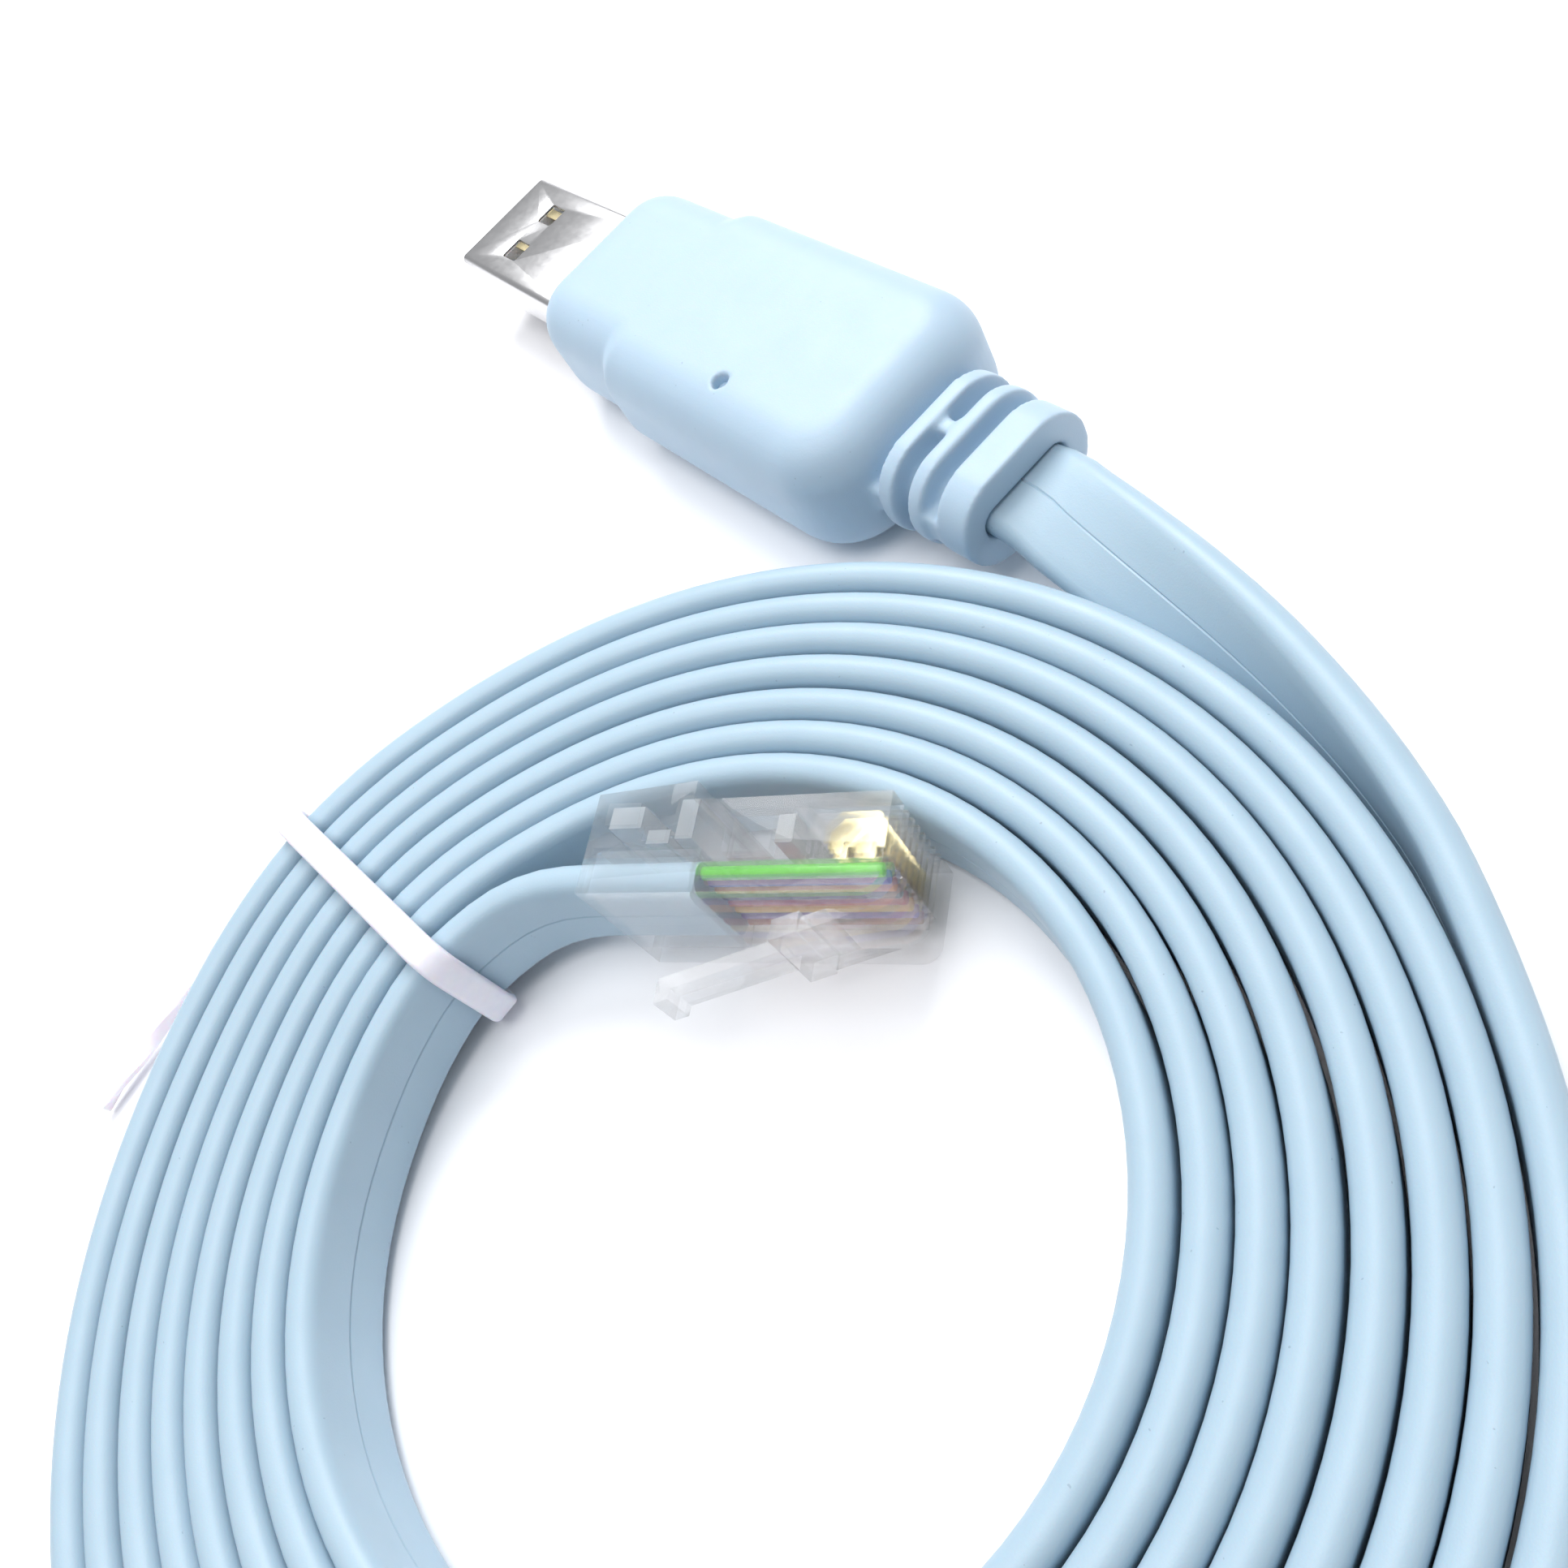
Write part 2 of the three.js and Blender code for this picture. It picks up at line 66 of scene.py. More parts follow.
# %% [markdown]
# Blender's operators act on all that is selected, and loading leaves the frame selected. These
# helpers keep one object selected at a time. Sizes are given in millimetres and stored in metres.

# %% Small helpers for objects and modifiers


def deselect():
    if bpy.context.object and bpy.context.object.mode != "OBJECT":
        bpy.ops.object.mode_set(mode="OBJECT")
    bpy.ops.object.select_all(action="DESELECT")


def select(piece, *others):
    deselect()
    for one in (*others, piece):
        one.select_set(True)
    bpy.context.view_layer.objects.active = piece


def box(name, x0, x1, y0, y1, z0, z1):
    """A cube primitive between two corners, in millimetres."""
    deselect()
    centre = Vector(((x0 + x1) / 2, (y0 + y1) / 2, (z0 + z1) / 2)) * MM
    bpy.ops.mesh.primitive_cube_add(size=1, location=centre)
    piece = bpy.context.object
    piece.scale = Vector((x1 - x0, y1 - y0, z1 - z0)) * MM
    bpy.ops.object.transform_apply(location=True, rotation=True, scale=True)
    piece.name = name
    return piece


def modify(piece, kind, **settings):
    """Adds a modifier with its settings and applies it."""
    select(piece)
    modifier = piece.modifiers.new(kind.title(), kind)
    for key, value in settings.items():
        setattr(modifier, key, value)
    bpy.ops.object.modifier_apply(modifier=modifier.name)
    return piece


def round_edges(piece, width, segments=3, angle=30):
    return modify(
        piece, "BEVEL", width=width * MM, segments=segments,
        limit_method="ANGLE", angle_limit=math.radians(angle),
    )


def combine(piece, others, operation):
    """Joins the other pieces to this one, or cuts them out of it, and removes them."""
    for other in others:
        modify(piece, "BOOLEAN", operation=operation, solver="EXACT", object=other)
        bpy.data.objects.remove(other)
    return piece


def merge(name, pieces):
    """Several objects as one, each keeping its own closed surface."""
    select(pieces[0], *pieces[1:])
    bpy.ops.object.join()
    pieces[0].name = name
    return pieces[0]


def edit(piece, mode="EDGE"):
    """Edit mode with nothing selected."""
    select(piece)
    bpy.ops.object.mode_set(mode="EDIT")
    bpy.ops.mesh.select_mode(type=mode)
    bpy.ops.mesh.select_all(action="DESELECT")
    bpy.ops.object.mode_set(mode="OBJECT")
    return piece.data


def pick(piece, elements, test):
    """Selects the elements that pass a test, and goes into edit mode."""
    for element in elements:
        element.select = test(element)
    bpy.ops.object.mode_set(mode="EDIT")
    return piece


def edge_ends(mesh, edge):
    return [mesh.vertices[i].co / MM for i in edge.vertices]


def bevel_edges(piece, test, width, segments=4):
    """Rounds the edges whose two ends, in millimetres, pass a test."""
    mesh = edit(piece)
    pick(piece, mesh.edges, lambda edge: test(*edge_ends(mesh, edge)))
    bpy.ops.mesh.bevel(offset=width * MM, segments=segments, affect="EDGES")
    bpy.ops.object.mode_set(mode="OBJECT")
    return piece


def smooth(piece, angle=40):
    select(piece)
    bpy.ops.object.shade_smooth_by_angle(angle=math.radians(angle))
    return piece


# %% [markdown]
# The camera looks down at the coil from the plug's side, as in the photograph. It was fitted to
# the modular plug's corners, so its place and angles are in the same frame as the model.

# %% Camera
deselect()
bpy.ops.object.camera_add(
    location=(-0.098443, 0.036709, 0.081191),
    rotation=[math.radians(v) for v in (31.612, 23.830, -132.195)],
)
camera = bpy.context.object
camera.data.sensor_width = 36
camera.data.lens = 32.4025
camera.data.clip_start = 0.005
bpy.context.scene.camera = camera
print("camera:", round(camera.data.lens, 2), "mm lens")

# %% [markdown]
# The lead is flat: eight cores side by side in one jacket, 8.2 mm wide. It leaves the housing
# lying flat, turns onto its edge, and winds inwards as a spiral. The inner end goes into the clear
# plug. The two short stretches follow listed points, and the coil follows a formula.

# %% Lead: its section and its route
JACKET_WIDTH = 8.2
JACKET_THICK = 2.4
COIL_CENTRE = Vector((-54.48, 50.6))
COIL_RADIUS = 25.26
TURN_PITCH = 2.652
COIL_START = math.radians(9.7)
COIL_END = COIL_START + 7.625 * math.tau
SPIRAL_ZERO = math.radians(-140.3)
TIE_ANGLE = math.radians(4.4)
TIE_LIFT = 1.3
TIE_LIFT_SPREAD = 0.34
PLUG_PLACE = Vector((-36.63, 42.23, 0))
PLUG_TURN = math.radians(216.9)
COLLAR_END = -36.825
MIDDLE = 6
HOUSING_ROUTE = [
    (COLLAR_END + 0.6, 0, MIDDLE),
    (-39, 0.02, 6),
    (-41.8, 0.5, 5.9),
    (-46.7, 1.15, 5.7),
    (-51.7, 1.75, 5.4),
    (-56.65, 2.45, 5.07),
    (-61.55, 3.4, 4.74),
    (-66.4, 4.7, 4.45),
    (-71.1, 6.4, 4.25),
    (-75.6, 8.6, 4.17),
]
PLUG_ROUTE = [
    (-28.35, 52.4, 5.5),
    (-28.6, 49.7, 5.5),
    (-29.35, 46.9, 5.6),
    (-30.85, 44.35, 5.7),
    (-32.94, 42.31, 5.8),
    (-35.34, 40.51, 5.85),
    (-38.54, 38.11, 5.85),
]
JACKET_END = (7.6, 2.15, 5.85)


def lift_at(angle):
    away = math.remainder(angle - TIE_ANGLE, math.tau)
    return TIE_LIFT * math.exp(-((away / TIE_LIFT_SPREAD) ** 2))


def spiral_radius(angle):
    return COIL_RADIUS + TURN_PITCH * (angle - SPIRAL_ZERO) / math.tau


def spiral_point(angle):
    """The middle of the lead in the coil. Each turn lies a little unevenly."""
    ease = min(1, (angle - COIL_START) / 2, (COIL_END - angle) / 2)
    radius = spiral_radius(angle) + 0.05 * ease * math.sin(1.31 * angle + 0.4)
    uneven = 0.06 + 0.06 * math.sin(0.83 * angle + 1.7) * ease
    z = JACKET_WIDTH / 2 + lift_at(angle) + uneven
    x = COIL_CENTRE.x + radius * math.cos(angle)
    return x, COIL_CENTRE.y + radius * math.sin(angle), z


def plug_point(x, y, z):
    """A point of the modular plug, from its own axes to the frame."""
    return tuple(Matrix.Rotation(PLUG_TURN, 3, "Z") @ Vector((x, y, z)) + PLUG_PLACE)


def through(points, share, i):
    """A Catmull-Rom curve through four neighbouring points."""
    a, b, c, d = (points[max(0, min(len(points) - 1, i + k))] for k in (-1, 0, 1, 2))
    t = share
    return (
        0.5 * (2 * b + (c - a) * t + (2 * a - 5 * b + 4 * c - d) * t ** 2
               + (3 * b - a - 3 * c + d) * t ** 3)
    )


def smooth_route(points, step):
    """The points again, on one smooth curve and an even step apart."""
    points = [Vector(p) for p in points]
    fine = [through(points, k / 8, i) for i in range(len(points) - 1) for k in range(8)]
    fine.append(points[-1])
    along = [0]
    for a, b in zip(fine, fine[1:]):
        along.append(along[-1] + (b - a).length)
    count = math.ceil(along[-1] / step)
    even, j = [], 0
    for k in range(count + 1):
        at = along[-1] * k / count
        while j < len(fine) - 2 and along[j + 1] < at:
            j += 1
        span = along[j + 1] - along[j]
        even.append(fine[j].lerp(fine[j + 1], (at - along[j]) / span))
    return even, along[-1]


TURN_POINTS = 36
turns = [
    spiral_point(COIL_END + (COIL_START - COIL_END) * k / (TURN_POINTS * 8))
    for k in range(TURN_POINTS * 8 + 1)
]
lead_points = HOUSING_ROUTE + turns + PLUG_ROUTE + [plug_point(*JACKET_END)]
lead_route, lead_length = smooth_route(lead_points, 1.8)
flat_stretch = smooth_route(HOUSING_ROUTE + turns[:1], 1.8)[1]
print("lead:", len(lead_route), "points,", round(lead_length), "mm long")

# %% [markdown]
# A flat cable is a section swept along a line. Its line is a poly curve, its section is a second
# curve given as the bevel object, and the tilt of each point stands the section on edge. Round
# edges and a fine parting line down the middle of each face are part of the section.

# %% Lead: sweeping the section


def section_curve(name, outline):
    curve = bpy.data.curves.new(name, "CURVE")
    curve.dimensions = "2D"
    spline = curve.splines.new("POLY")
    spline.points.add(len(outline) - 1)
    for point, (x, y) in zip(spline.points, outline):
        point.co = (x * MM, y * MM, 0, 1)
    spline.use_cyclic_u = True
    section = bpy.data.objects.new(name, curve)
    bpy.context.scene.collection.objects.link(section)
    return section


def sweep(name, points, outline, tilts):
    """The outline swept along the points, made a mesh. A tilt of 0 keeps its x axis level."""
    section = section_curve(name + "_section", outline)
    curve = bpy.data.curves.new(name, "CURVE")
    curve.dimensions = "3D"
    curve.twist_mode = "Z_UP"
    spline = curve.splines.new("POLY")
    spline.points.add(len(points) - 1)
    for point, place, tilt in zip(spline.points, points, tilts):
        point.co = (*(Vector(place) * MM), 1)
        point.tilt = tilt
    curve.bevel_mode = "OBJECT"
    curve.bevel_object = section
    curve.use_fill_caps = True
    piece = bpy.data.objects.new(name, curve)
    bpy.context.scene.collection.objects.link(piece)
    select(piece)
    bpy.ops.object.convert(target="MESH")
    piece = bpy.context.object
    bpy.data.objects.remove(section)
    return piece


def jacket_outline():
    """Right half of the section from bottom to top, then the left half by symmetry."""
    half = JACKET_WIDTH / 2
    thick = JACKET_THICK / 2
    notch = [(0, -thick + 0.08), (0.11, -thick), (0.3, -thick)]
    corner = []
    for k in range(9):
        angle = math.radians(-90 + 180 * k / 8)
        corner.append((half - 1.05 + 1.05 * math.cos(angle), thick * math.sin(angle)))
    right = notch + [(half / 2, -thick)] + corner + [(half / 2, thick), (0.3, thick), (0.11, thick)]
    left = [(-x, -y) for x, y in right]
    return right + left


def stand_share(distance):
    """How far the lead has turned onto its edge, from 0 at the collar to 1 at the coil."""
    return math.sin(math.pi / 2 * min(1, distance / flat_stretch))


step_length = lead_length / (len(lead_route) - 1)
lead_tilts = [math.pi / 2 * stand_share(k * step_length) for k in range(len(lead_route))]
lead = smooth(sweep("lead", lead_route, jacket_outline(), lead_tilts), 30)
print("lead mesh:", len(lead.data.polygons), "faces")

# %% [markdown]
# The housing is one soft moulding, like a pillow: a block with a narrower nose, whose edges are
# large quarter rounds. It starts as a cube. Its nose is bisected off and narrowed, its corners are
# bevelled, and the top and bottom are inset and raised in steps along a quarter circle.

# %% Housing: the block
SHOULDER = -26.625
HOUSING_FRONT = 17.775
HOUSING_HALF = 10.4
HOUSING_HEIGHT = 12
HOUSING_EDGE = 4.2
NECK_FROM = HOUSING_FRONT - 12.8
NECK_HALF = 9.3


def pillow_edges(piece, radius, steps=9):
    """Insets and raises the top and the bottom along a quarter circle."""
    for side in (1, -1):
        mesh = edit(piece, "FACE")
        pick(piece, mesh.polygons, lambda face: face.normal.z * side > 0.9)
        for k in range(steps):
            a0, a1 = (math.pi / 2 * (k + j) / steps for j in (0, 1))
            bpy.ops.mesh.inset(
                thickness=radius * (math.cos(a0) - math.cos(a1)) * MM,
                depth=radius * (math.sin(a1) - math.sin(a0)) * MM,
                use_boundary=True, use_even_offset=True,
            )
        bpy.ops.object.mode_set(mode="OBJECT")
    return piece


def housing_block():
    block = box("housing", SHOULDER, HOUSING_FRONT, -HOUSING_HALF, HOUSING_HALF,
                HOUSING_EDGE, HOUSING_HEIGHT - HOUSING_EDGE)
    for x in (NECK_FROM - 1.5, NECK_FROM):
        mesh = edit(block)
        pick(block, mesh.edges, lambda edge: True)
        bpy.ops.mesh.bisect(plane_co=(x * MM, 0, 0), plane_no=(1, 0, 0))
        bpy.ops.object.mode_set(mode="OBJECT")
    for vertex in block.data.vertices:
        if vertex.co.x > (NECK_FROM - 0.1) * MM:
            vertex.co.y *= NECK_HALF / HOUSING_HALF

    def upright_at(x):
        return lambda a, b: abs(a.x - x) < 0.1 and abs(b.x - x) < 0.1 and abs(a.y - b.y) < 0.1

    bevel_edges(block, upright_at(SHOULDER), 6, 10)
    bevel_edges(block, upright_at(HOUSING_FRONT), 4.6, 8)
    return pillow_edges(block, HOUSING_EDGE)


housing = housing_block()
print("housing block:", len(housing.data.polygons), "faces")

# %% [markdown]
# Behind the shoulder, the strain relief lets the lead bend a little at a time: an oval core with
# ribs on it, tied together in turn at the sides and in the middle, and a collar at the end. The
# parts are ovals side by side. A voxel remesh joins them to the block with small natural fillets.

# %% Housing: strain relief
RIB_STARTS = (-29.325, -32.275)
RIB_THICK = 1.5
RIB_WIDTH = 13.4
RIB_HEIGHT = 8.4
COLLAR_START = COLLAR_END + 3.1
MOULD_HOLE = (-11.025, 6.2, 12)


def oval(name, x0, x1, width, height):
    """An oval slice standing across X, a box with its four long edges fully rounded."""
    piece = box(name, x0, x1, -width / 2, width / 2, MIDDLE - height / 2, MIDDLE + height / 2)
    return bevel_edges(piece, lambda a, b: abs(a.x - b.x) > 0.1, height * 0.49, 10)


def strain_relief():
    pieces = [
        oval("core", COLLAR_END + 0.9, SHOULDER + 4, 9.7, 3.9),
        oval("rib", RIB_STARTS[0], RIB_STARTS[0] + RIB_THICK, RIB_WIDTH, RIB_HEIGHT),
        oval("rib", RIB_STARTS[1], RIB_STARTS[1] + RIB_THICK, RIB_WIDTH - 0.3, RIB_HEIGHT - 0.3),
    ]
    collar = oval("collar", COLLAR_END, COLLAR_START, 12.8, 7.8)
    mouth = oval("mouth", COLLAR_END - 1, COLLAR_END + 0.9, 8.6, 2.7)
    pieces.append(combine(collar, [mouth], "DIFFERENCE"))
    for x0, x1 in ((-28, -25), (COLLAR_START - 0.4, RIB_STARTS[1] + 0.4)):
        for y in (-5.2, 5.2):
            pieces.append(box("bridge", x0, x1, y - 1, y + 1, MIDDLE - 1.2, MIDDLE + 1.2))
    pieces.append(box("bridge", RIB_STARTS[1] + 1.2, RIB_STARTS[0] + 0.4, -0.65, 0.65,
                      MIDDLE - 3.7, MIDDLE + 3.7))
    return pieces


def round_peg(name, x, y, z0, z1, radius):
    deselect()
    bpy.ops.mesh.primitive_cylinder_add(
        vertices=24, radius=radius * MM, depth=(z1 - z0) * MM,
        location=Vector((x, y, (z0 + z1) / 2)) * MM,
    )
    bpy.ops.object.transform_apply(location=True, rotation=True, scale=True)
    bpy.context.object.name = name
    return bpy.context.object


housing = merge("housing", [housing, *strain_relief()])
modify(housing, "REMESH", mode="VOXEL", voxel_size=0.24 * MM)
combine(housing, [round_peg("mould_hole", *MOULD_HOLE[:2], 10.4, 13, 0.7)], "DIFFERENCE")
modify(housing, "SMOOTH", factor=0.5, iterations=8)
smooth(housing, 80)
print("housing:", len(housing.data.polygons), "faces")

# %% [markdown]
# The USB plug is a folded steel shell with two windows in its top and in its bottom and a seam
# underneath. Inside is a white insulator with four gilt contacts.

# %% USB plug
GAP = 0.3
SHELL_START = HOUSING_FRONT + GAP
SHELL_END = SHELL_START + 18.75
SHELL_HALF_WIDTH = 6
SHELL_HALF_HEIGHT = 2.25
SHELL_WALL = 0.35
WINDOW_HALF = 1.15
WINDOW_ASIDE = 2.5
WINDOW_FROM_FRONT = (7.5, 5.2)
SEAM_HALF = 0.05
TONGUE_LENGTH = 17.6
TONGUE_HEIGHT = 1.9
TONGUE_ROOT = 3.15
PAST = 1


def usb_shell():
    along = lambda a, b: abs(a.x - b.x) > 1
    upright = lambda a, b: abs(a.z - b.z) > 1
    shell = box("usb_shell", SHELL_START, SHELL_END, -SHELL_HALF_WIDTH, SHELL_HALF_WIDTH,
                MIDDLE - SHELL_HALF_HEIGHT, MIDDLE + SHELL_HALF_HEIGHT)
    bevel_edges(shell, along, 0.6, 5)
    inside = SHELL_HALF_WIDTH - SHELL_WALL
    inside_height = SHELL_HALF_HEIGHT - SHELL_WALL
    hollow = box("hollow", SHELL_START - PAST, SHELL_END + PAST, -inside, inside,
                 MIDDLE - inside_height, MIDDLE + inside_height)
    cutters = [bevel_edges(hollow, along, 0.3, 4)]
    front, back = WINDOW_FROM_FRONT
    for y in (-WINDOW_ASIDE, WINDOW_ASIDE):
        window = box("window", SHELL_END - front, SHELL_END - back,
                     y - WINDOW_HALF, y + WINDOW_HALF, MIDDLE - 3, MIDDLE + 3)
        cutters.append(bevel_edges(window, upright, 0.25, 3))
    cutters.append(box("seam", SHELL_START - PAST, SHELL_END + PAST,
                       -SEAM_HALF, SEAM_HALF, MIDDLE - 3, MIDDLE - 2.1))
    combine(shell, cutters, "DIFFERENCE")
    return smooth(round_edges(shell, 0.06, 2, 50))


def usb_insulator():
    half = SHELL_HALF_WIDTH - SHELL_WALL - GAP
    bottom = MIDDLE - SHELL_HALF_HEIGHT + SHELL_WALL + GAP
    root_top = MIDDLE + SHELL_HALF_HEIGHT - SHELL_WALL - GAP
    tongue = box("usb_insulator", SHELL_START, SHELL_START + TONGUE_LENGTH, -half, half,
                 bottom, bottom + TONGUE_HEIGHT)
    root = box("root", SHELL_START, SHELL_START + TONGUE_ROOT, -half, half, bottom, root_top)
    combine(tongue, [root], "UNION")
    return smooth(round_edges(tongue, 0.15, 3))


usb_contacts = []
for i, y in enumerate((-3.5, -1, 1, 3.5)):
    low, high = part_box("usb_contact_%d" % (i + 1))
    contact = box("usb_blade_%d" % (i + 1), *(v / MM for pair in zip(low, high) for v in pair))
    round_edges(contact, 0.07, 2)
    usb_contacts.append(smooth(contact))
shell = usb_shell()
insulator = usb_insulator()
print("usb plug:", len(shell.data.polygons), "faces on the shell")

# %% [markdown]
# The modular plug is one clear moulding. It is modelled in its own axes, x forwards, y from the
# latch to the contacts, z across, and turned into place at the end. The jacket and the eight
# cores need clear channels through it, and each contact blade drops into a slot of its own.

# %% Modular plug: the clear body
PLUG_LENGTH = 21.3
PLUG_WIDTH = 11.7
SLOT_START = 15.1
CORE_PITCH = 1.02
CORE_ACROSS = 2.35
CORE_END = 20.5
CORE_START = 7.9
CORE_RADIUS = 0.46
SLOT_HALF = 0.32
# Moulded hollows as spans of x and y. CAVITY_SPAN is how far they all run across the plug.
CAVITIES = [
    (0.5, 3, 5.3, 6.9),
    (5.8, 7.1, 4.4, 7.3),
    (3.7, 5.4, 4.1, 5.1),
    (13.2, 14.4, 3.9, 5.9),
]
CAVITY_SPAN = (1.2, 10.5)


def core_heights():
    return [PLUG_WIDTH / 2 + (3.5 - i) * CORE_PITCH for i in range(8)]


def latch():
    """A wide base and a narrow arm, sloped away from the body by moving each point."""
    parts = [
        box("latch", 14.3, 20.2, 0, 1, 2.7, 9),
        box("arm", 5, 14.6, 0, 1, 4.3, 7.4),
        box("foot", 5, 6, -0.7, 1, 4.3, 7.4),
        box("wing", 13.4, 15.2, -0.1, 1.3, 2.4, 9.3),
    ]
    body = combine(parts[0], parts[1:], "UNION")
    for vertex in body.data.vertices:
        vertex.co.y -= (19.6 * MM - vertex.co.x) * 0.352
    return body


def plug_body():
    rear = box("modular_plug_clear", 0, 7.4, 0, 8, 0, PLUG_WIDTH)
    for vertex in rear.data.vertices:
        if vertex.co.x < 1 * MM and vertex.co.y > 1 * MM:
            vertex.co.y = 7.3 * MM
    nose = box("nose", 7, PLUG_LENGTH, 0, 6.6, 0, PLUG_WIDTH)
    bevel_edges(nose, lambda a, b: a.x > 21 and b.x > 21 and a.y < 1 and b.y < 1, 1.3, 6)
    body = combine(rear, [nose, latch()], "UNION")
    round_edges(body, 0.15, 3, 35)
    jacket = box("jacket_channel", -1, 7.9, 0.6, 3.7, 1.35, 10.35)
    cores = box("core_channel", 7, CORE_END + 0.3, 1.73, 2.97, 1.66, 10.04)
    pocket = box("crimp_pocket", 9.2, 12.6, 3.6, 9, 2.6, 9.1)
    cutters = [jacket, cores, pocket]
    for z in core_heights():
        cutters.append(box("slot", SLOT_START, PLUG_LENGTH + 1, CORE_ACROSS, 9,
                           z - SLOT_HALF, z + SLOT_HALF))
    for x0, x1, y0, y1 in CAVITIES:
        cutters.append(box("cavity", x0, x1, y0, y1, *CAVITY_SPAN))
    return frost_cavities(combine(body, cutters, "DIFFERENCE"))


def frost_cavities(body):
    """Marks the faces of the moulded hollows, which are left matt by the mould."""
    margin = 0.02
    frost = body.data.attributes.new("frost", "FLOAT", "FACE")
    for value, face in zip(frost.data, body.data.polygons):
        x, y, z = face.center / MM
        across = CAVITY_SPAN[0] - margin < z < CAVITY_SPAN[1] + margin
        inside = any(x0 - margin < x < x1 + margin and y0 - margin < y < y1 + margin
                     for x0, x1, y0, y1 in CAVITIES)
        value.value = 1.0 if inside and across else 0.0
    return body


clear_plug = plug_body()
print("modular plug:", len(clear_plug.data.polygons), "faces")

# %% Modular plug: contact blades and cores


BLADE_REAR = 16.5
BLADE_FRONT = 20.3


def top_edge_at(x):
    """A test for the blade's top edge across its thickness, at one x."""
    return lambda a, b: max(abs(a.x - x), abs(b.x - x)) < 0.1 and min(a.y, b.y) > 5


def contact_blade():
    blade = box("plug_blade_1", BLADE_REAR, BLADE_FRONT, 3.11, 5.9, -0.15, 0.15)
    cuts = [
        box("cut", 16, 17, 3, 3.8, -1, 1),
        box("cut", 17.9, 18.4, 3, 3.9, -1, 1),
        box("cut", 19.8, 21, 3, 3.9, -1, 1),
    ]
    bevel_edges(blade, top_edge_at(BLADE_REAR), 0.9, 1)
    bevel_edges(blade, top_edge_at(BLADE_FRONT), 0.5, 4)
    return smooth(round_edges(combine(blade, cuts, "DIFFERENCE"), 0.03, 2))


def core():
    deselect()
    bpy.ops.mesh.primitive_cylinder_add(
        vertices=24, radius=CORE_RADIUS * MM, depth=(CORE_END - CORE_START) * MM,
        rotation=(0, math.pi / 2, 0),
        location=Vector(((CORE_START + CORE_END) / 2, CORE_ACROSS, 0)) * MM,
    )
    bpy.ops.object.transform_apply(location=True, rotation=True, scale=True)
    return smooth(round_edges(bpy.context.object, 0.08, 2))


def copies(piece, name):
    """The piece once at each core's height, each copy with its own mesh."""
    made = []
    for i, z in enumerate(core_heights()):
        one = piece.copy()
        one.data = piece.data.copy()
        one.name = "%s_%d" % (name, i + 1)
        bpy.context.scene.collection.objects.link(one)
        one.data.transform(Matrix.Translation((0, 0, z * MM)))
        made.append(one)
    bpy.data.objects.remove(piece)
    return made


blades = copies(contact_blade(), "gilt_blade")
cores = copies(core(), "core")
into_place = Matrix.Translation(PLUG_PLACE * MM) @ Matrix.Rotation(PLUG_TURN, 4, "Z")
for piece in (clear_plug, *blades, *cores):
    piece.data.transform(into_place)
smooth(clear_plug, 30)
print("contacts and cores:", len(blades), len(cores))

# %% [markdown]
# The tie is a soft white plastic band. It goes round the whole bundle, and its ends are twisted
# together outside and lie down on the table. It is a flat section swept round a rounded
# rectangle, and then out along the tail.

# %% Tie
tie_inner = spiral_radius(TIE_ANGLE) - JACKET_THICK / 2 - 0.5
tie_outer = spiral_radius(TIE_ANGLE + 7 * math.tau) + JACKET_THICK / 2 + 0.3
TIE_BOTTOM = 1.0
TIE_TOP = 10.0


def tie_ring_points():
    corners = [
        (tie_outer - 1.6, TIE_BOTTOM + 1.6, -90), (tie_outer - 1.6, TIE_TOP - 1.6, 0),
        (tie_inner + 1.6, TIE_TOP - 1.6, 90), (tie_inner + 1.6, TIE_BOTTOM + 1.6, 180),
    ]
    points = []
    for r, z, from_angle in corners:
        for k in range(7):
            a = math.radians(from_angle + 90 * k / 6)
            points.append((r + 2.1 * math.cos(a), z + 2.1 * math.sin(a)))
    return points


def tie_band():
    ring = tie_ring_points()
    rows = []
    for offset, side in ((-0.45, -1.15), (-0.45, 1.15), (0.45, 1.15), (0.45, -1.15)):
        row = []
        for k, (r, z) in enumerate(ring):
            before, after = ring[k - 1], ring[(k + 1) % len(ring)]
            along = Vector((after[0] - before[0], after[1] - before[1])).normalized()
            row.append((r + along.y * offset, z - along.x * offset, side))
        rows.append(row)
    count = len(ring)
    to_coil = Matrix.Translation((COIL_CENTRE.x, COIL_CENTRE.y, 0))
    place = to_coil @ Matrix.Rotation(TIE_ANGLE, 4, "Z")
    vertices = [place @ Vector((r, side, z)) * MM for row in rows for r, z, side in row]
    faces = []
    for j in range(4):
        for k in range(count):
            a, b = j * count + k, j * count + (k + 1) % count
            c, d = (j + 1) % 4 * count + (k + 1) % count, (j + 1) % 4 * count + k
            faces.append((a, b, c, d))
    mesh = bpy.data.meshes.new("tie")
    mesh.from_pydata(vertices, [], faces)
    piece = bpy.data.objects.new("tie", mesh)
    bpy.context.scene.collection.objects.link(piece)
    select(piece)
    bpy.ops.object.mode_set(mode="EDIT")
    bpy.ops.mesh.select_all(action="SELECT")
    bpy.ops.mesh.normals_make_consistent(inside=False)
    bpy.ops.object.mode_set(mode="OBJECT")
    return piece


TAIL_ROUTE = [
    (-7.6, 55.4, 7.6),
    (-7.2, 56.4, 6),
    (-5.6, 59.4, 4.6),
    (-3.6, 62.4, 2.6),
    (-2.2, 66, 1.2),
    (-2.6, 71, 0.8),
    (-4.2, 77, 0.75),
    (-5.6, 82.6, 0.75),
]


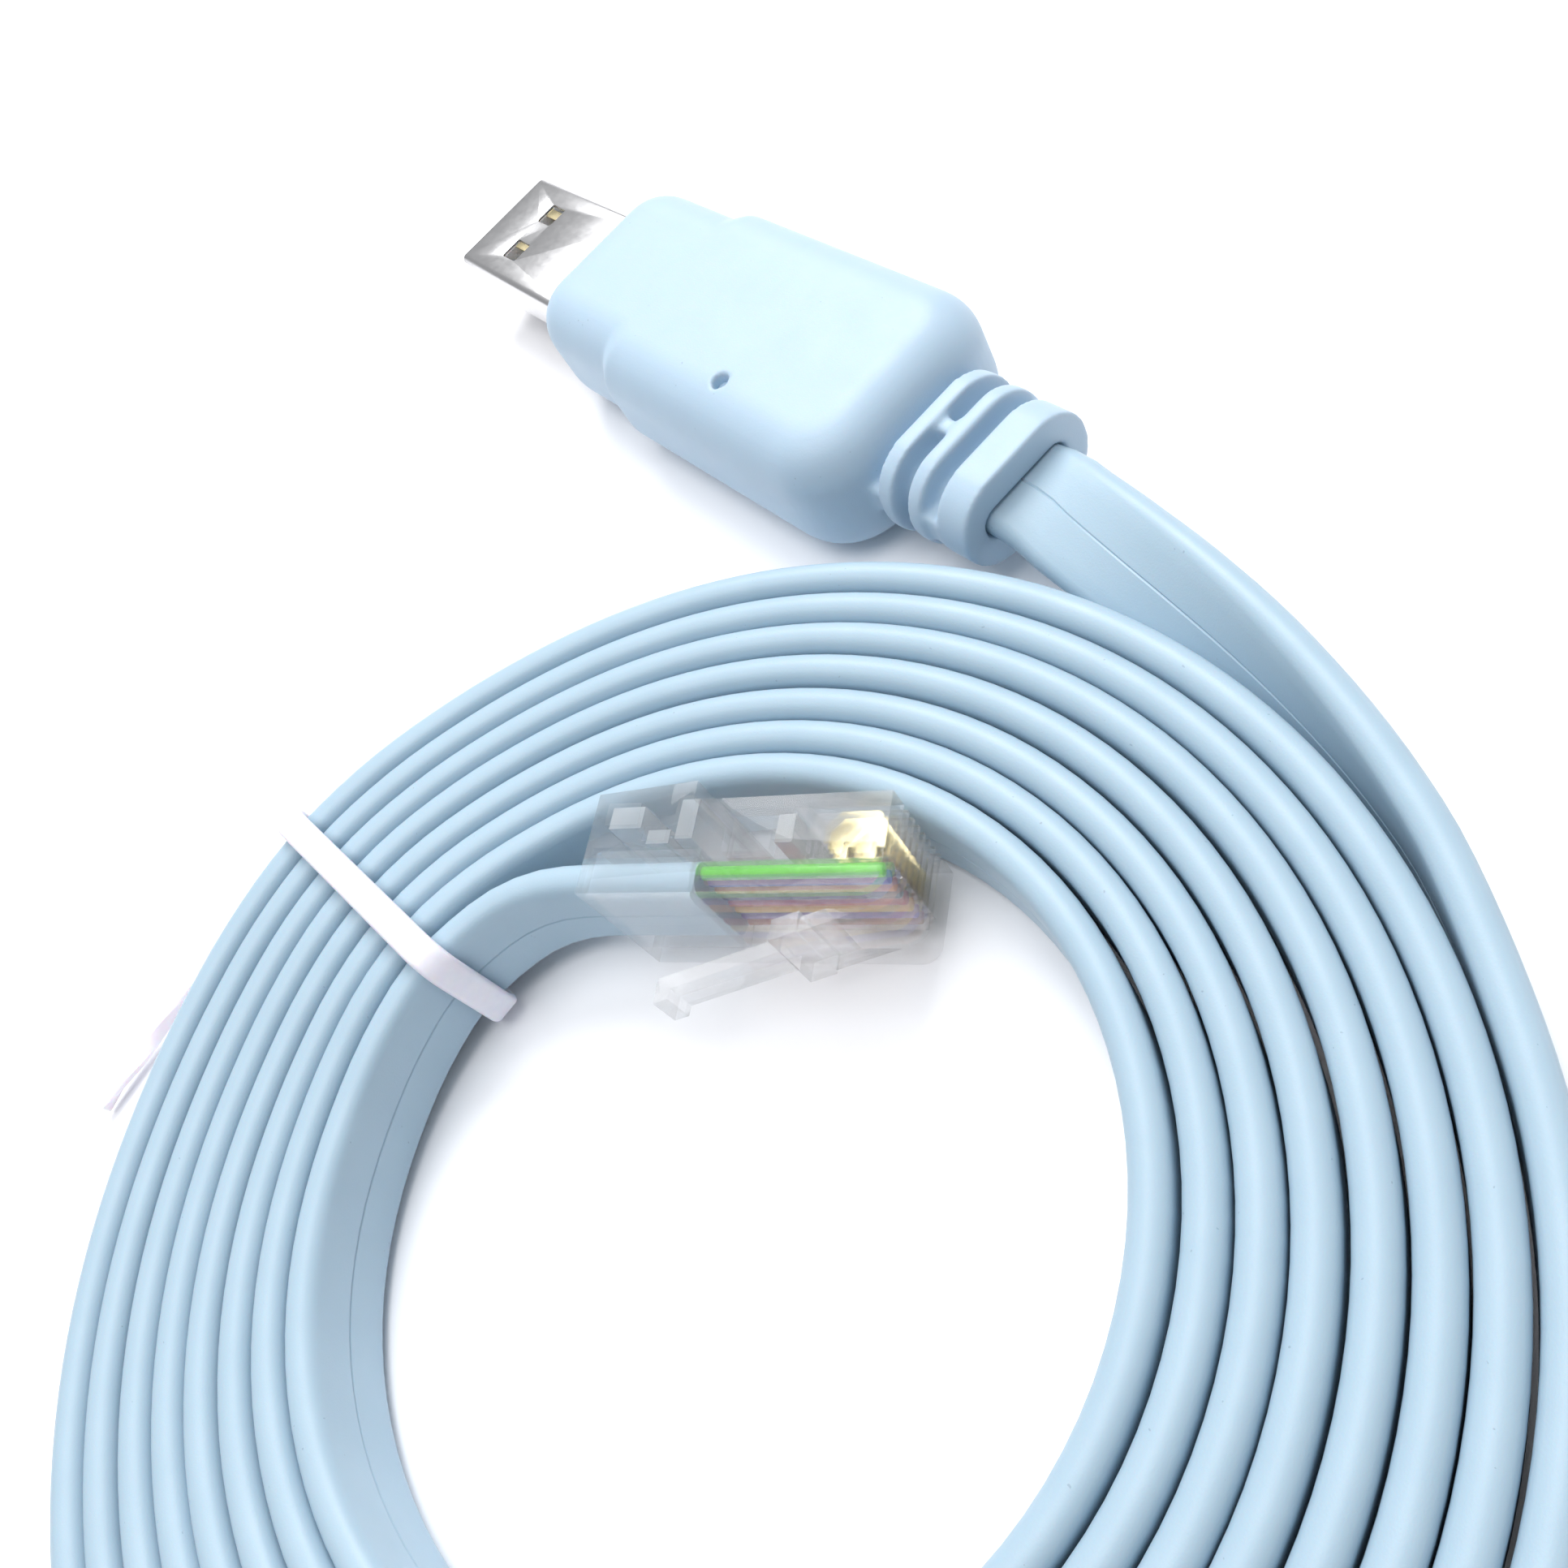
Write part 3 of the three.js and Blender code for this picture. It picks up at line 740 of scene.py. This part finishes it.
def tie_tail():
    points, _ = smooth_route(TAIL_ROUTE, 0.5)
    outline = [(-0.55, -0.25), (0.55, -0.25), (0.55, 0.25), (-0.55, 0.25)]
    tilts = [math.pi * 3.5 * k / len(points) for k in range(len(points))]
    return sweep("tail", points, outline, tilts)


tie = merge("tie", [round_edges(tie_band(), 0.38, 4), round_edges(tie_tail(), 0.14, 2)])
smooth(tie)
print("tie:", len(tie.data.polygons), "faces")

# %% [markdown]
# Shader maths is written as Python: this class wraps a socket, so that an expression such as
# 1 - mask adds the Math node it needs. Every other node comes from one method.

# %% Node helpers


class Socket:
    def __init__(self, tree, socket):
        self.tree = tree
        self.socket = socket

    def math(self, operation, *values):
        made = self.tree.nodes.new("ShaderNodeMath")
        made.operation = operation
        for slot, value in zip(made.inputs, values):
            if isinstance(value, Socket):
                self.tree.links.new(value.socket, slot)
            else:
                slot.default_value = value
        return Socket(self.tree, made.outputs[0])

    def __add__(self, other):
        return self.math("ADD", self, other)

    __radd__ = __add__

    def __sub__(self, other):
        return self.math("SUBTRACT", self, other)

    def __rsub__(self, other):
        return self.math("SUBTRACT", other, self)

    def __mul__(self, other):
        return self.math("MULTIPLY", self, other)

    __rmul__ = __mul__

    def above(self, limit):
        return self.math("GREATER_THAN", self, limit)


class Finish:
    """A material on one Principled shader, with a method that makes any node."""

    def __init__(self, name, **values):
        self.material = bpy.data.materials.new(name)
        self.material.use_nodes = True
        self.tree = self.material.node_tree
        self.shader = self.tree.nodes["Principled BSDF"]
        self.set(**values)

    def set(self, **values):
        for key, value in values.items():
            self.put(self.shader.inputs[key.replace("_", " ").title().replace("Ior", "IOR")], value)

    def put(self, socket, value):
        if isinstance(value, Socket):
            self.tree.links.new(value.socket, socket)
        elif isinstance(value, tuple) and len(value) == 3 and socket.type == "RGBA":
            socket.default_value = (*value, 1)
        else:
            socket.default_value = value

    def node(self, kind, out=0, settings=None, **inputs):
        made = self.tree.nodes.new("ShaderNode" + kind)
        for key, value in (settings or {}).items():
            setattr(made, key, value)
        for key, value in inputs.items():
            place = int(key[1:]) if key[0] == "i" and key[1:].isdigit() else key.replace("_", " ")
            self.put(made.inputs[place], value)
        return Socket(self.tree, made.outputs[out])

    def place(self):
        return self.node("TexCoord", out="Object")

    def noise(self, scale, detail=2, rough=0.5):
        return self.node(
            "TexNoise", Vector=self.place(), Scale=scale, Detail=detail, Roughness=rough)

    def mix(self, factor, first, second):
        mixed = self.node("Mix", settings={"data_type": "RGBA"}, i0=factor, i6=first, i7=second)
        return Socket(self.tree, mixed.socket.node.outputs[2])

    def bump(self, height, strength, distance):
        return self.node("Bump", Height=height, Strength=strength, Distance=distance)


# %% [markdown]
# Soft blue plastic: satin, a little translucent, with a faint mottle, a very fine grain and a few
# dust specks. The jacket and the housing are the same compound, the housing a shade lighter.

# %% Materials


def soft_plastic(name, light, dark, rough):
    finish = Finish(name, subsurface_weight=0.12, subsurface_scale=0.0012, specular_ior_level=0.4)
    mottle = finish.noise(260, 4)
    colour = finish.mix(mottle, light, dark)
    specks = finish.noise(2400, 1).above(0.8)
    finish.set(
        base_color=finish.mix(specks * 0.3, colour, (0.10, 0.13, 0.2)),
        roughness=mottle * 0.12 + rough,
        normal=finish.bump(finish.noise(7000, 2), 0.25, 0.00004),
    )
    return finish.material


def clear_plastic(name, rough):
    """Glass mixed with plain see-through, matt where the mesh is marked as frosted."""
    finish = Finish(name, base_color=(1, 1, 1), transmission_weight=0.9, ior=1.45)
    frost = finish.node("Attribute", out="Fac", settings={"attribute_name": "frost"})
    finish.set(roughness=frost * 0.35 + finish.noise(900) * 0.01 + rough)
    clear_share = finish.node("BsdfTransparent")
    glass = Socket(finish.tree, finish.shader.outputs[0])
    blend = finish.node("MixShader", i0=frost * -0.3 + 0.68, i1=glass, i2=clear_share)
    finish.tree.links.new(blend.socket, finish.tree.nodes["Material Output"].inputs["Surface"])
    return finish.material


def metal(name, colour, rough):
    finish = Finish(name, metallic=1)
    streak = finish.noise(1500, 3)
    finish.set(
        base_color=finish.mix(streak, colour, tuple(0.86 * v for v in colour)),
        roughness=streak * 0.15 + rough,
        normal=finish.bump(streak, 0.1, 0.00002),
    )
    return finish.material


def coloured_core(name, colour):
    finish = Finish(name, specular_ior_level=0.6)
    tone = finish.noise(500, 2)
    finish.set(
        base_color=finish.mix(tone, colour, tuple(0.75 * v for v in colour)),
        roughness=tone * 0.1 + 0.22,
    )
    return finish.material


def frosted_band(name):
    finish = Finish(name, subsurface_weight=0.4, subsurface_scale=0.001)
    grain = finish.noise(1200, 3)
    finish.set(
        base_color=finish.mix(grain, (0.86, 0.85, 0.92), (0.78, 0.77, 0.86)),
        roughness=grain * 0.2 + 0.3,
        normal=finish.bump(grain, 0.2, 0.00005),
    )
    return finish.material


housing_blue = soft_plastic("housing blue", (0.43, 0.56, 0.68), (0.40, 0.53, 0.65), 0.42)
jacket_blue = soft_plastic("jacket blue", (0.40, 0.53, 0.63), (0.36, 0.49, 0.59), 0.36)
clear = clear_plastic("clear plastic", 0)
gold = metal("gilt contact", (1, 0.86, 0.48), 0.16)
steel = metal("plated steel", (0.72, 0.72, 0.73), 0.24)
white = soft_plastic("white insulator", (0.86, 0.86, 0.87), (0.8, 0.8, 0.82), 0.35)
band = frosted_band("frosted band")
CORE_COLOURS = {
    "core_green": (0.14, 0.66, 0.05),
    "core_blue": (0.06, 0.09, 0.5),
    "core_orange": (0.62, 0.2, 0.06),
    "core_black": (0.02, 0.025, 0.04),
    "core_red": (0.5, 0.04, 0.04),
    "core_yellow": (0.7, 0.42, 0.06),
    "core_violet": (0.2, 0.1, 0.42),
    "core_brown": (0.3, 0.13, 0.07),
}

# %% [markdown]
# Each piece takes its material and rides on the root of the frame, and the plain solids it stands
# for are hidden.

# %% Fitting the pieces to the frame


def fit(piece, slot, material, *nodes):
    piece.data.materials.clear()
    piece.data.materials.append(material)
    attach(piece, "root")
    if nodes:
        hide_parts(*nodes)


fit(lead, "jacket", jacket_blue, "housing_lead", "coiled_lead", "plug_lead")
fit(housing, "housing", housing_blue, "moulded_housing")
fit(shell, "shell_steel", steel, "usb_shell")
fit(insulator, "white_insulator", white, "usb_insulator")
for i, piece in enumerate(usb_contacts):
    fit(piece, "contact_gold", gold, "usb_contact_%d" % (i + 1))
fit(clear_plug, "clear_plastic", clear, "modular_plug")
for i, (blade, one, slot) in enumerate(zip(blades, cores, CORE_COLOURS)):
    fit(blade, "contact_gold", gold, "plug_contact_%d" % (i + 1))
    insulation = coloured_core(slot.replace("_", " "), CORE_COLOURS[slot])
    fit(one, slot, insulation, "core_wire_%d" % (i + 1))
fit(tie, "tie_band", band, "bundle_tie")
lead_route[0] * MM
lead_length * MM
[p * MM for p in lead_route]
print("pieces fitted")

# %% [markdown]
# The photograph is high-key: the table burns out to white, the light is a wide soft one from
# above and a little behind, and the shadows are pale. The standard view keeps the whites clean.

# %% Table, light and view
deselect()
bpy.ops.mesh.primitive_plane_add(size=3, location=(0, 0, -0.0002))
table = bpy.context.object
table.name = "table"
paper = Finish("white table", specular_ior_level=0.2, roughness=0.7)
paper.set(base_color=paper.mix(paper.noise(6, 2), (0.97, 0.97, 0.99), (0.95, 0.95, 0.98)))
table.data.materials.append(paper.material)
table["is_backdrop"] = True


def soft_light(name, place, target, size, power, colour=(1, 1, 1)):
    deselect()
    bpy.ops.object.light_add(type="AREA", location=place)
    light = bpy.context.object
    light.name = name
    light.data.shape = "DISK"
    light.data.size = size
    light.data.energy = power
    light.data.color = colour
    light.rotation_euler = (Vector(target) - Vector(place)).to_track_quat("-Z", "Y").to_euler()


soft_light("overhead", (-0.03, 0.1, 0.6), (-0.05, 0.03, 0), 0.5, 2.3)
soft_light("behind", (0.25, -0.22, 0.45), (-0.05, 0.03, 0), 0.35, 3)
world = bpy.data.worlds.new("studio")
world.use_nodes = True
world.node_tree.nodes["Background"].inputs["Color"].default_value = (0.97, 0.98, 1, 1)
world.node_tree.nodes["Background"].inputs["Strength"].default_value = 0.4
bpy.context.scene.world = world
bpy.context.scene.view_settings.view_transform = "Standard"

# %% [markdown]
# Last, the box of the finished model is printed.

# %% Sizes and finish
low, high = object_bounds()
print("visual:", [round(v / MM, 1) for v in high - low], "mm")
